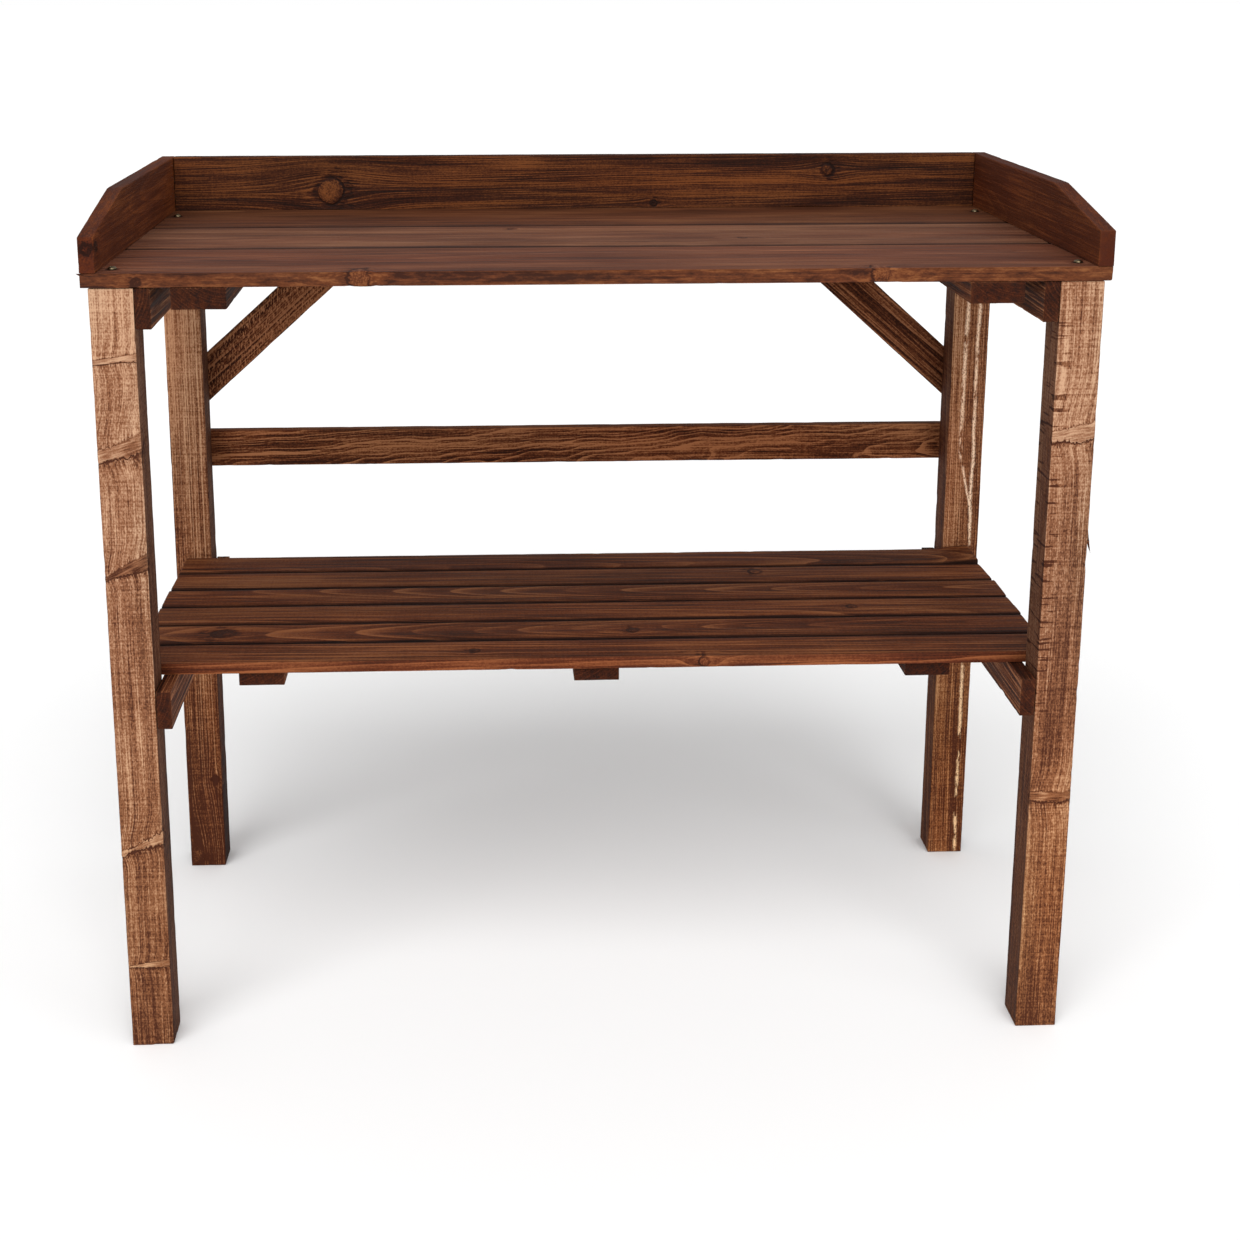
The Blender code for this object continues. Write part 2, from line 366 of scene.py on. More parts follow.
def make_knot_group():
    """Bends the grain round a knot, and gives the knot's own mask, fibres and rim, the rim with
    painted shade and highlight.
    """
    tree = bpy.data.node_groups.new("knot", "ShaderNodeTree")
    carried = (("Grain", "Vector"), ("Knots", "Float"), ("Shade", "Float"), ("Rim", "Float"))
    vectors = ("Place", "Centre", "Axis")
    numbers = ("Radius", "Tone", "Spike", "Ragged", "Lit side", "Reach")
    given_values = (*((name, "Vector") for name in vectors), *((name, "Float") for name in numbers))
    group_sockets(tree, given_values + carried, carried)
    n = Nodes(tree)
    given = n.add("NodeGroupInput").outputs
    result = n.add("NodeGroupOutput").inputs

    # Distance from the axis in radii: slimmer inwards, frayed, and far away past the reach
    offset = n.vector("SUBTRACT", given["Place"], given["Centre"])
    along_knot = n.vector("DOT_PRODUCT", offset, given["Axis"])
    aside = n.vector("SUBTRACT", offset, n.scale(given["Axis"], along_knot))
    ragged = n.noise(given["Place"], (45, 34, 34), 1)
    frayed = n.noise(given["Place"], (80, 420, 420), 2)
    taper = n.times(along_knot, given["Spike"], KNOT_TAPER)
    share = n.math("MAXIMUM", n.math("SUBTRACT", 1.0, taper), SLIMMEST_KNOT)
    distance = n.math("DIVIDE", n.vector("LENGTH", aside), n.times(given["Radius"], share))
    from_middle = n.math("ABSOLUTE", along_knot)
    past_reach = n.ramp(from_middle, given["Reach"], n.times(given["Reach"], 1.3))
    distance = n.total(
        distance,
        n.swing(ragged, given["Ragged"]),
        n.swing(frayed, n.times(given["Ragged"], 0.5)),
        n.times(past_reach, 4.0),
    )

    # The grain is drawn in towards the knot, so its lines part and flow round it
    stretched = n.vector("LENGTH", n.vector("MULTIPLY", aside, (0.42, 1, 1)))
    radii = n.math("DIVIDE", stretched, n.times(given["Radius"], 1.9))
    pull = n.math("POWER", math.e, n.times(n.math("POWER", radii, 2.0), -1.0))
    pull = n.times(pull, n.ramp(from_middle, n.times(given["Reach"], 1.8), given["Reach"]))
    pulled = n.scale(n.vector("MULTIPLY", aside, (0, 1, 1)), n.times(pull, 0.82))
    swept = n.scale(given["Axis"], n.times(pull, given["Spike"], given["Radius"]))
    bent = n.vector("SUBTRACT", n.vector("SUBTRACT", given["Grain"], pulled), swept)
    n.feed(result["Grain"], bent)

    # Inside: rings round the axis, fibres along it, and a darker heart where it is seen end on
    inside = n.ramp(distance, 1.06, 0.90)
    rings = n.math("SINE", n.times(distance, 15.0))
    heart = n.ramp(distance, 0.36, 0.10)
    across_fibres = n.scale(aside, 620.0)
    along_fibres = n.scale(given["Axis"], n.times(along_knot, 55.0))
    fibres = n.noise(n.vector("ADD", across_fibres, along_fibres), (1, 1, 1), 3, 0.6)
    patches = n.noise(given["Place"], (60, 60, 60), 1)
    end_on = n.math("SUBTRACT", 1.0, given["Spike"])
    shade = n.total(
        given["Tone"],
        n.times(rings, 0.07),
        n.times(heart, n.times(end_on, -0.25)),
        n.swing(fibres, 2.0),
        n.swing(patches, 1.3),
    )

    # The rim is a dark crack with torn fibres round it; painted shade makes it darkest on the lower
    # side, and the torn fibres get a painted highlight on the lit side
    lit = n.times(n.math("DIVIDE", n.split(aside)[0], given["Radius"]), given["Lit side"])
    upper = n.ramp(lit, -0.5, 0.9)
    crack_width = n.ramp(patches, 0.35, 0.65, 0.12, 0.42)
    from_rim = n.math("ABSOLUTE", n.math("SUBTRACT", distance, 1.05))
    crack = n.ramp(from_rim, crack_width, 0.03)
    from_halo = n.math("ABSOLUTE", n.math("SUBTRACT", distance, 1.6))
    halo = n.ramp(from_halo, 1.1, 0.1)
    torn = n.ramp(frayed, 0.50, 0.60)
    # Painted shade and highlight: darker below the knot, paler towards the lit side
    crack = n.times(crack, n.ramp(upper, 0.0, 1.0, -0.70, -0.30))
    torn = n.times(n.times(halo, torn), n.ramp(upper, 0.0, 0.7, -0.46, 0.16))
    rim = n.total(crack, torn)

    n.feed(result["Knots"], n.math("MAXIMUM", given["Knots"], inside))
    outside = n.math("SUBTRACT", 1.0, inside)
    blended = n.total(n.times(given["Shade"], outside), n.times(shade, inside))
    n.feed(result["Shade"], blended)
    n.feed(result["Rim"], n.math("ADD", given["Rim"], rim))
    return tree


# ---- Materials ----

# The lightness of plain timber, which the stain has near its middle colour
MIDDLE_LIGHTNESS = 0.42

TORN_WOOD = linear(232, 214, 196)
DULL_ZINC = linear(74, 60, 42)
BRIGHT_ZINC = linear(138, 124, 98)
WARM_TINT = (1.10, 0.90, 0.80, 1)
SEAM_TINT = (0.24, 0.20, 0.18, 1)

# How far along the timber the saw nicks and the pale lines fade in and out
NICK_FADE = 30 * MM
LINE_FADE = 10 * MM

# Each look: the dark, middle and light of its stain; how strongly each kind of mark shows; the
# gap between growth rings and the depth of the relief in millimetres; the painted shade of its
# narrow sides and the tint of its sawn ends; how far stain gathers from a seam; and how much its
# arrises are painted paler, as rubbed wear and a painted highlight.
LOOKS = {
    "leg": {
        "dark": (66, 34, 19), "middle": (125, 84, 58), "light": (182, 149, 121),
        "rings": 0.26, "fibre": 1.5, "streak": 0.9, "blotch": 0.9, "stipple": 1.35, "saw": 0.7,
        "ring_gap": 3.0, "relief": 0.5, "roughness": 0.88, "gloss": 0.15,
        "side_shade": (0.42, 0.33, 0.29), "end_tint": (0.7, 0.62, 0.55),
        "seam": 5 * MM, "rub_and_highlight": 0.30,
    },
    "worktop": {
        "dark": (50, 22, 11), "middle": (92, 50, 31), "light": (134, 88, 62),
        "rings": 0.30, "fibre": 0.9, "streak": 1.15, "blotch": 1.1, "stipple": 0.3, "saw": 0.05,
        "ring_gap": 4.5, "relief": 0.12, "roughness": 0.68, "gloss": 0.14,
        "side_shade": (0.42, 0.36, 0.33), "end_tint": (0.62, 0.5, 0.45),
        "seam": 8 * MM, "rub_and_highlight": 0.12,
    },
    "upstand": {
        "dark": (30, 11, 4), "middle": (60, 27, 12), "light": (120, 71, 38),
        "rings": 0.60, "fibre": 1.7, "streak": 1.2, "blotch": 1.3, "stipple": 0.8, "saw": 0.2,
        "ring_gap": 2.4, "relief": 0.3, "roughness": 0.74, "gloss": 0.12,
        "side_shade": (0.62, 0.54, 0.50), "end_tint": (0.62, 0.52, 0.46),
        "seam": 5 * MM, "rub_and_highlight": 0.2,
    },
    "shelf": {
        "dark": (42, 19, 9), "middle": (82, 43, 24), "light": (128, 84, 56),
        "rings": 0.75, "fibre": 1.3, "streak": 1.3, "blotch": 1.2, "stipple": 0.7, "saw": 0.2,
        "ring_gap": 4.0, "relief": 0.25, "roughness": 0.72, "gloss": 0.12,
        "side_shade": (0.34, 0.28, 0.26), "end_tint": (0.7, 0.6, 0.5),
        "seam": 5 * MM, "rub_and_highlight": 0.18,
    },
    "rail": {
        "dark": (44, 19, 8), "middle": (96, 53, 30), "light": (160, 110, 76),
        "rings": 0.85, "fibre": 2.0, "streak": 1.8, "blotch": 1.2, "stipple": 1.2, "saw": 0.35,
        "ring_gap": 3.2, "relief": 0.4, "roughness": 0.84, "gloss": 0.12,
        "side_shade": (0.7, 0.62, 0.56), "end_tint": (0.42, 0.34, 0.30),
        "seam": 5 * MM, "rub_and_highlight": 0.2,
    },
}


def log_rings(n, grain, place, look, timber):
    """Light lines of late wood on the growth rings of the log that the timber was sawn from."""
    wander = n.noise(place, timber["wander_waves"], 2, 0.5, colour=True)
    wander = n.scale(n.vector("SUBTRACT", wander, (0.5, 0.5, 0.5)), timber["wander"])
    along, across, through = n.split(n.vector("ADD", grain, wander))
    squares = []
    for value, pith, lean in zip((across, through), timber["pith"], timber["lean"]):
        centred = n.math("SUBTRACT", value, pith)
        centred = n.math("SUBTRACT", centred, n.times(along, lean))
        squares.append(n.math("POWER", centred, 2.0))
    from_pith = n.math("SQRT", n.total(*squares))

    # Rings of uneven width, each with its own strength, rise slowly and end sharply
    ring = n.math("DIVIDE", from_pith, look["ring_gap"] * MM)
    uneven = n.noise(n.join(n.times(ring, 0.41), timber["seed"], 0.0), (1, 1, 1), 1)
    ring = n.total(ring, n.times(uneven, 2.2))
    part = n.math("FRACT", ring)
    rise = n.math("POWER", part, 3.0)
    fall = n.ramp(part, 0.93, 1.0, 1.0, 0.0)
    strength = n.noise(n.join(n.math("FLOOR", ring), timber["seed"] + 3.3, 0.0), (1.7, 1, 1), 0)
    return n.times(n.times(rise, fall), n.ramp(strength, 0.3, 0.7, 0.35, 1.2))


def saw_nicks(n, shifted, along, across, timber):
    """Short dark cuts that a coarse saw left across one arris, as a change of lightness."""
    side, low, high = timber["nicks"]
    if not side:
        return 0.0
    cuts = n.ramp(n.noise(shifted, (230, 26, 26), 1), 0.58, 0.66)
    towards_arris = n.ramp(n.times(across, side), 2 * MM, 17 * MM)
    within = n.times(
        n.ramp(along, low, low + NICK_FADE),
        n.ramp(along, high, high - NICK_FADE),
    )
    return n.times(n.times(cuts, towards_arris), n.times(within, -0.62))


def bend_round_knots(n, place, knots):
    """The grain once every knot has bent it, with the knots' mask, shade and rim."""
    grain, mask, shade, rim = place, 0.0, 0.0, 0.0
    for one in knots:
        group = n.add("ShaderNodeGroup", node_tree=bpy.data.node_groups["knot"])
        axis = Vector(one["axis"]).normalized()
        given = {
            "Place": place, "Grain": grain, "Centre": one["at"], "Axis": tuple(axis),
            "Radius": one["radius"], "Tone": one["tone"], "Spike": abs(axis.y),
            "Ragged": one["ragged"], "Lit side": one["lit_side"], "Reach": one["reach"],
            "Knots": mask, "Shade": shade, "Rim": rim,
        }
        for socket, value in given.items():
            n.feed(group.inputs[socket], value)
        grain, mask, shade, rim = group.outputs
    return grain, mask, shade, rim


def stain_colour(n, look, lightness):
    """The look's stain, from its dark at lightness 0 to its light at 1."""
    stain = n.add("ShaderNodeValToRGB")
    stops = stain.color_ramp.elements
    stops[0].position, stops[0].color = 0.0, linear(*look["dark"])
    stops[1].position, stops[1].color = 1.0, linear(*look["light"])
    stops.new(0.45).color = linear(*look["middle"])
    n.feed(stain.inputs[0], lightness)
    return stain.outputs[0]


def add_pale_lines(n, colour, shifted, along, across, lines):
    """Broken pale lines where the saw tore the fibres, along the grain or slanting over it."""
    for offset, slope, width, low, high in lines:
        middle = n.math("MULTIPLY_ADD", along, slope, offset)
        wavering = n.swing(n.noise(shifted, (14, 1, 1), 2), 6 * MM)
        from_line = n.math("SUBTRACT", n.math("SUBTRACT", across, middle), wavering)
        width_here = n.times(n.noise(shifted, (160, 90, 90), 3, 0.7), 2 * width)
        line = n.ramp(n.math("ABSOLUTE", from_line), width_here, 0.0)
        line = n.times(line, n.ramp(along, low, low + LINE_FADE))
        line = n.times(line, n.ramp(along, high, high - LINE_FADE))
        line = n.times(line, n.ramp(n.noise(shifted, (14, 40, 40), 4, 0.8), 0.40, 0.48))
        line = n.times(line, n.ramp(n.noise(shifted, (400, 900, 900), 2, 0.6), 0.36, 0.48))
        colour = n.mix(line, colour, TORN_WOOD)
    return colour


def add_seam_stain(n, colour, shifted, across, look, timber):
    """Stain that has gathered along the joints between boards."""
    start = timber["half_width"] - look["seam"]
    end = timber["half_width"] - 0.4 * look["seam"]
    for is_seam, side in zip(timber["seams"], (-1, 1)):
        if is_seam:
            reach = n.math("SUBTRACT", n.noise(shifted, (14, 1, 1), 3, 0.7), 0.5)
            reach = n.math("MULTIPLY_ADD", reach, look["seam"], n.times(across, side))
            gathered = n.ramp(reach, start, end, 0.0, 0.95)
            colour = n.mix(gathered, colour, SEAM_TINT, "MULTIPLY")
    return colour


def timber_material(name, look, timber):
    """Stained wood whose grain runs solid through the timber, in the timber's own frame."""
    material = bpy.data.materials.new(name)
    material.use_nodes = True
    n = Nodes(material.node_tree)
    shader = n.output("Principled BSDF")

    source = n.add("ShaderNodeTexCoord")
    place = source.outputs["Object"]
    seed = timber["seed"]
    shifted = n.vector("ADD", place, (seed, seed * 0.37, seed * 0.71))
    facing = n.split(n.vector("ABSOLUTE", source.outputs["Normal"]))
    on_end = n.ramp(facing[0], 0.6, 0.85)
    on_side = n.ramp(facing[1], 0.55, 0.8)

    # Knots first, because they bend the grain
    grain, knots, shade, rim = bend_round_knots(n, place, timber["knots"])
    along, across, through = n.split(place)
    rings = log_rings(n, grain, shifted, look, timber)
    flow = n.vector("ADD", shifted, n.vector("SUBTRACT", grain, place))
    marks = {
        "fibre": n.noise(flow, (13, 900, 900), 3, 0.6),
        "streak": n.noise(flow, (4, 190, 190), 2, 0.55),
        "blotch": n.noise(flow, (5, 26, 26), 3, 0.55),
        "stipple": n.noise(shifted, (420, 700, 700), 2, 0.6),
        "saw": n.noise(shifted, (480, 12, 12), 2, 0.7),
    }

    # Lightness, outside the knots and inside them
    swings = [n.times(rings, look["rings"] * timber["rings"])]
    for mark, value in marks.items():
        swings.append(n.swing(value, look[mark]))
    mottle = n.math("SUBTRACT", n.noise(shifted, (60, 210, 210), 4, 0.7), 0.5)
    swings.append(n.times(n.times(mottle, on_side), timber["mottle"]))
    slanted = n.join(n.math("ADD", along, across), n.math("SUBTRACT", across, along), through)
    flecks = n.ramp(n.noise(slanted, (110, 480, 260), 2, 0.6), 0.52, 0.60)
    swings.append(n.times(flecks, timber["flecks"]))
    swings = n.times(n.total(*swings), timber["contrast"])
    swings = n.times(swings, n.ramp(on_end, 0, 1, 1.0, 0.45))
    fade_across = n.times(across, timber["shade_across"])
    fade = n.math("MULTIPLY_ADD", along, timber["fade"], fade_across)
    nicks = saw_nicks(n, shifted, along, across, timber)
    lightness = n.total(swings, fade, MIDDLE_LIGHTNESS + timber["tone"], nicks)
    covered = n.times(knots, 0.85)
    outside = n.math("SUBTRACT", 1.0, covered)
    lightness = n.total(n.times(lightness, outside), n.times(shade, covered), rim)

    colour = stain_colour(n, look, lightness)
    colour = add_pale_lines(n, colour, shifted, along, across, timber["pale_lines"])
    hue = n.noise(shifted, (3, 14, 14), 2)
    colour = n.mix(n.ramp(hue, 0.35, 0.65, 0.0, 0.5), colour, WARM_TINT, "MULTIPLY")

    # Arrises are painted paler in patches: partly rubbed wear, partly a painted highlight
    edge = n.add("ShaderNodeAttribute", attribute_name="edge").outputs["Fac"]
    rubbed_and_lit = n.times(n.math("POWER", edge, 2.0), n.ramp(marks["blotch"], 0.45, 0.62))
    colour = n.mix(n.times(rubbed_and_lit, look["rub_and_highlight"]), colour, linear(*look["light"]))

    # Tints of the seams, the sides, the ends and the foot; the sides' tint is painted shade
    colour = add_seam_stain(n, colour, shifted, across, look, timber)
    colour = n.mix(on_side, colour, (*(timber["side"] or look["side_shade"]), 1), "MULTIPLY")
    colour = n.mix(on_end, colour, (*look["end_tint"], 1), "MULTIPLY")
    if timber["foot_tint"]:
        near_foot = n.ramp(along, 0.10, -0.30)
        colour = n.mix(near_foot, colour, (*timber["foot_tint"], 1), "MULTIPLY")
    if timber["tint"] != (1, 1, 1):
        colour = n.mix(1.0, colour, (*timber["tint"], 1), "MULTIPLY")
    n.feed(shader.inputs["Base Color"], colour)
    shader.inputs["Specular IOR Level"].default_value = look["gloss"]

    rough = n.swing(marks["streak"], 0.5)
    n.feed(shader.inputs["Roughness"], n.math("ADD", rough, look["roughness"], clamp=True))

    height = n.total(
        n.times(rings, 0.35),
        n.times(marks["fibre"], 0.9),
        n.times(marks["stipple"], 0.35 + 0.4 * look["stipple"]),
        n.times(marks["saw"], 0.2 + look["saw"]),
        n.times(rim, 1.5),
        n.times(n.times(shade, knots), 1.2),
    )
    n.feed(shader.inputs["Normal"], n.bump(height, look["relief"] * MM))
    return material


def zinc_material():
    """Yellowish zinc plate with fine scratches."""
    material = bpy.data.materials.new("zinc")
    material.use_nodes = True
    n = Nodes(material.node_tree)
    shader = n.output("Principled BSDF")
    place = n.add("ShaderNodeTexCoord").outputs["Object"]
    patches = n.noise(place, (900, 900, 900), 3)
    scratches = n.noise(place, (6000, 900, 900), 2)
    shader.inputs["Metallic"].default_value = 1
    n.feed(shader.inputs["Base Color"], n.mix(patches, DULL_ZINC, BRIGHT_ZINC))
    n.feed(shader.inputs["Roughness"], n.ramp(scratches, 0.3, 0.7, 0.22, 0.42))
    n.feed(shader.inputs["Normal"], n.bump(scratches, 0.05 * MM))
    return material


# ---- Finishes: the shape of the surface that each kind of timber has ----

SAWN = {
    "step": 4 * MM, "cross_step": 3.6 * MM, "wear": 1.6 * MM, "chips": 1.6, "chip_waves": 60,
    "uneven": 0.7 * MM, "lumps": 0.4 * MM, "cup": 0, "seat": 0,
}
PLANED = {
    "step": 7 * MM, "cross_step": 6 * MM, "wear": 1.4 * MM, "chips": 1.0, "chip_waves": 40,
    "uneven": 0.35 * MM, "lumps": 0.3 * MM, "cup": 1.3 * MM, "seat": 0,
}
ROUGH_BOARD = {
    "step": 6 * MM, "cross_step": 4.5 * MM, "wear": 1.5 * MM, "chips": 1.5, "chip_waves": 55,
    "uneven": 0.5 * MM, "lumps": 0.5 * MM, "cup": 1.0 * MM, "seat": 0,
}
UPSTAND = {**PLANED, "seat": 0.6 * MM, "uneven": 0.3 * MM}
WORN_FRONT = {**PLANED, "step": 5 * MM, "cross_step": 4 * MM, "lumps": 1.3 * MM, "chips": 1.3}


# What a timber may have of its own: where the pith of its log lies, in metres across and through,
# and how that shifts along it; how far the rings wander; its tone, and how that changes along it
# and across it; the tint of its lower end; and marks that only some timbers have. A pale line is
# its offset across, its slope, its width, and where along the timber it starts and ends.
PLAIN_TIMBER = {
    "pith": (0.0, -0.05), "lean": (0.0, 0.03), "wander": 0.008, "wander_waves": (2.2, 11, 11),
    "rings": 1.0, "contrast": 1.0, "mottle": 0.0, "flecks": 0.0,
    "tone": 0.0, "fade": 0.0, "shade_across": 0.0,
    "tint": (1, 1, 1), "side": None, "foot_tint": None,
    "seams": (False, False), "nicks": (0, 0.0, 0.0), "pale_lines": (), "knots": (),
}


def add_timber(node, slot, look, finish, axes, half=None, shape=None, **own):
    """Models the timber that stands for this CAD node, in its own frame, and puts it in place."""
    low, high = (Vector(corner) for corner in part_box(node))
    if half is None:
        half = [abs((high - low).dot(axis)) / 2 for axis in axes]
    seed = random.Random(node).uniform(3, 60)
    timber = {**PLAIN_TIMBER, **own, "seed": seed, "half_width": half[1]}
    mesh = timber_mesh(node, half, finish, seed, timber["knots"], timber["seams"], shape)
    mesh.materials.append(timber_material(node, LOOKS[look], timber))
    piece = bpy.data.objects.new(f"{node}_timber", mesh)
    bpy.context.scene.collection.objects.link(piece)
    rotation = Matrix(axes).transposed()
    piece.matrix_world = Matrix.Translation((low + high) / 2) @ rotation.to_4x4()
    bpy.context.view_layer.update()
    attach(piece, "root")
    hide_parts(node)


# ---- The bench ----


def add_legs():
    """Along is up from the middle of the leg, and across runs from right to left."""
    add_timber(
        "leg_front_left", "sawn_leg", "leg", SAWN, LEG_FRAME,
        pith=(0.07, 0.03), lean=(0.01, 0.0), tone=0.01, fade=0.46, foot_tint=(0.94, 0.90, 0.80),
        knots=(
            knot(0.328, 0, 0.022, (-0.12, 1, 0), 3, 0.75, 0.7, 1.0, ragged=1.6),
            knot(0.239, 0, 0.020, (-0.30, 1, 0), 8, 0.62, 0.6, 1.3, ragged=2.6),
            knot(0.122, -0.006, 0.022, (-0.45, 1, 0), 4.5, 0.25, 0.3, 1.2, ragged=3.0),
            knot(-0.172, 0, 0.021, (-0.42, 1, 0), 5, 0.80, 0.8, 1.3, ragged=3.0),
            knot(-0.305, 0, 0.022, (-0.1, 1, 0), 2.5, 0.7, 0.5, 0.9, ragged=2.2),
        ),
    )
    add_timber(
        "leg_front_right", "sawn_leg", "leg", SAWN, LEG_FRAME,
        pith=(-0.09, 0.02), lean=(-0.01, 0.0), tone=0.01, fade=0.46, nicks=(1, -0.06, 0.38),
        foot_tint=(1.06, 0.93, 0.72),
        knots=(
            knot(0.247, 0, 0.022, (-0.15, 1, 0), 8, 0.85, 0.3, 1.1, ragged=2.2),
            knot(-0.135, 0, 0.022, (0, 1, 0), 5, 0.35, 0.4, 1.0, ragged=2.6),
        ),
    )
    add_timber(
        "leg_back_left", "sawn_leg", "leg", SAWN, LEG_FRAME,
        pith=(0.05, 0.01), lean=(0.0, 0.0), tone=-0.17, fade=1.0, rings=3.4,
        tint=(0.98, 0.86, 0.76), foot_tint=(0.90, 0.82, 0.68),
        knots=(
            knot(-0.281, -0.014, 0.0, (0, 0, 1), 4.5, -0.9, -0.8, 0.2, ragged=0.1),
            knot(-0.385, 0.020, 0.0, (0, 0, 1), 15, 0.0, -0.6, 0.4, ragged=0.6),
        ),
    )
    add_timber(
        "leg_back_right", "sawn_leg", "leg", SAWN, LEG_FRAME,
        pith=(-0.06, 0.02), lean=(0.01, 0.0), tone=-0.18, fade=0.28, rings=2.4,
        tint=(1.03, 0.87, 0.73), foot_tint=(0.95, 0.90, 0.72), shade_across=9,
        pale_lines=(
            (0.0060, -0.006, 3.5 * MM, 0.112, 0.40),
            (-0.0238, 0.24, 2.2 * MM, 0.050, 0.125),
            (-0.0106, 0.004, 3.0 * MM, -0.40, 0.40),
        ),
    )


def screw_stains(board_box, row):
    """Dark dimples in the board round the screws of that row."""
    middle = (Vector(board_box[0]) + Vector(board_box[1])) / 2
    stains = []
    for side in ("left", "right"):
        low, high = (Vector(corner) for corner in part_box(f"worktop_screw_{row}_{side}"))
        place = (low + high) / 2 - middle
        stains.append(knot(place.x, place.y, 0, (0, 0, 1), 5.5, -0.3, -0.5, 0.0, ragged=0.5))
    return stains


def add_worktop():
    """Three boards, whose worn front edge and seams show."""
    add_timber(
        "worktop_board_front", "worktop_board", "worktop", WORN_FRONT, TOP_FRAME,
        pith=(0.01, -0.06), lean=(0.02, 0.03), tone=-0.07, side=(0.95, 0.88, 0.59), mottle=1.7,
        seams=(False, True),
        knots=(
            knot(-0.225, -0.075, 0.001, (0.2, 1, 0.1), 9, 0.52, 0.9, 0.8, ragged=2.4, reach=0.016),
            knot(0.266, -0.075, 0.001, (-0.2, 1, 0.1), 8, 0.52, 0.9, 0.8, ragged=2.4, reach=0.014),
            knot(
                -0.437, -0.076, -0.001, (0.2, 1, 0.2), 4.5, -0.2, -1.0, 0.6,
                ragged=2.6, reach=0.015,
            ),
            *screw_stains(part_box("worktop_board_front"), "front"),
        ),
    )
    add_timber(
        "worktop_board_middle", "worktop_board", "worktop", PLANED, TOP_FRAME,
        # The middle board's lighter tone and greyer tint are partly its own colour and partly a
        # painted sheen
        pith=(-0.03, -0.09), lean=(0.03, 0.02), tone=0.03, tint=(1.0, 1.13, 1.18),
        seams=(True, True),
        knots=(
            knot(0.16, -0.03, 0, (0.3, 0, 1), 4, 0.1, 0, 0.1),
            knot(-0.08, 0.05, 0, (0, 0.2, 1), 5, 0.2, 0, 0.1),
        ),
    )
    add_timber(
        "worktop_board_rear", "worktop_board", "worktop", PLANED, TOP_FRAME,
        pith=(0.05, -0.05), lean=(-0.02, -0.03), tone=-0.12, tint=(0.88, 0.92, 0.74),
        seams=(True, False),
        knots=screw_stains(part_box("worktop_board_rear"), "back"),
    )


def add_upstands():
    """Side boards with a sloping front, and the back board between them."""
    low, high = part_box("upstand_left")
    length, height = high[1] - low[1], high[2] - low[2]

    def sloped(front_is_low_end):
        def cut(points):
            run = points[:, 0] + length / 2 if front_is_low_end else length / 2 - points[:, 0]
            risen = np.clip(run / UPSTAND_SLOPE_RUN, 0, 1)
            share = UPSTAND_FRONT_SHARE + (1 - UPSTAND_FRONT_SHARE) * risen
            points[:, 1] = (points[:, 1] + height / 2) * share - height / 2
            return points

        return cut

    add_timber(
        "upstand_left", "upstand_board", "upstand", UPSTAND, LEFT_SIDE_FRAME,
        pith=(0.01, -0.07), lean=(0.03, 0.02), tone=0.06, rings=0.5, contrast=0.35,
        tint=(1.88, 1.77, 1.38), shape=sloped(True),
        knots=(knot(-0.246, -0.010, 0.0, (1, 0, 0), 7, 0.1, 0.2, 0.6, ragged=2.4, reach=0.02),),
    )
    add_timber(
        "upstand_right", "upstand_board", "upstand", UPSTAND, RIGHT_SIDE_FRAME,
        pith=(-0.02, -0.06), lean=(0.02, -0.03), tone=0.0, rings=0.5, contrast=0.35,
        tint=(1.87, 1.71, 1.40), shape=sloped(False),
    )
    add_timber(
        "upstand_back", "upstand_board", "upstand", UPSTAND, BACKBOARD_FRAME,
        pith=(-0.11, -0.03), lean=(0.025, 0.0), wander=0.012, tint=(0.80, 0.77, 0.66),
        knots=(
            knot(-0.292, -0.010, 0.0, (0, 0, 1), 15, 0.78, 0.5, 0.9, ragged=0.25, lit_side=-1),
            knot(0.091, -0.026, 0.0, (0, 0, 1), 4, -0.1, 0.2, 0.5, lit_side=-1),
            knot(0.298, 0.012, 0.0, (0, 0, 1), 7, 0.3, 0.3, 0.6, lit_side=-1),
        ),
    )


def shelf_board_shape(number):
    """Ends sawn a little short and out of square, and a curl at one end of the back board."""
    rng = random.Random(number)
    cuts = [rng.uniform(0.2, 2.6) * MM for _ in range(2)]
    skews = [rng.uniform(-0.025, 0.025) for _ in range(2)]
    curl = SHELF_CURL if number == SHELF_BOARDS else 0

    def shaped(points):
        share = points[:, 0] / (points[:, 0].max() * 2) + 0.5
        low_cut, high_cut = (
            cut + skew * points[:, 1] + abs(skew) * SKEW_ROOM for cut, skew in zip(cuts, skews)
        )
        points[:, 0] += (1 - share) * low_cut - share * high_cut
        points[:, 2] += curl * between(share, 0.94, 1.0)
        return points

    return shaped


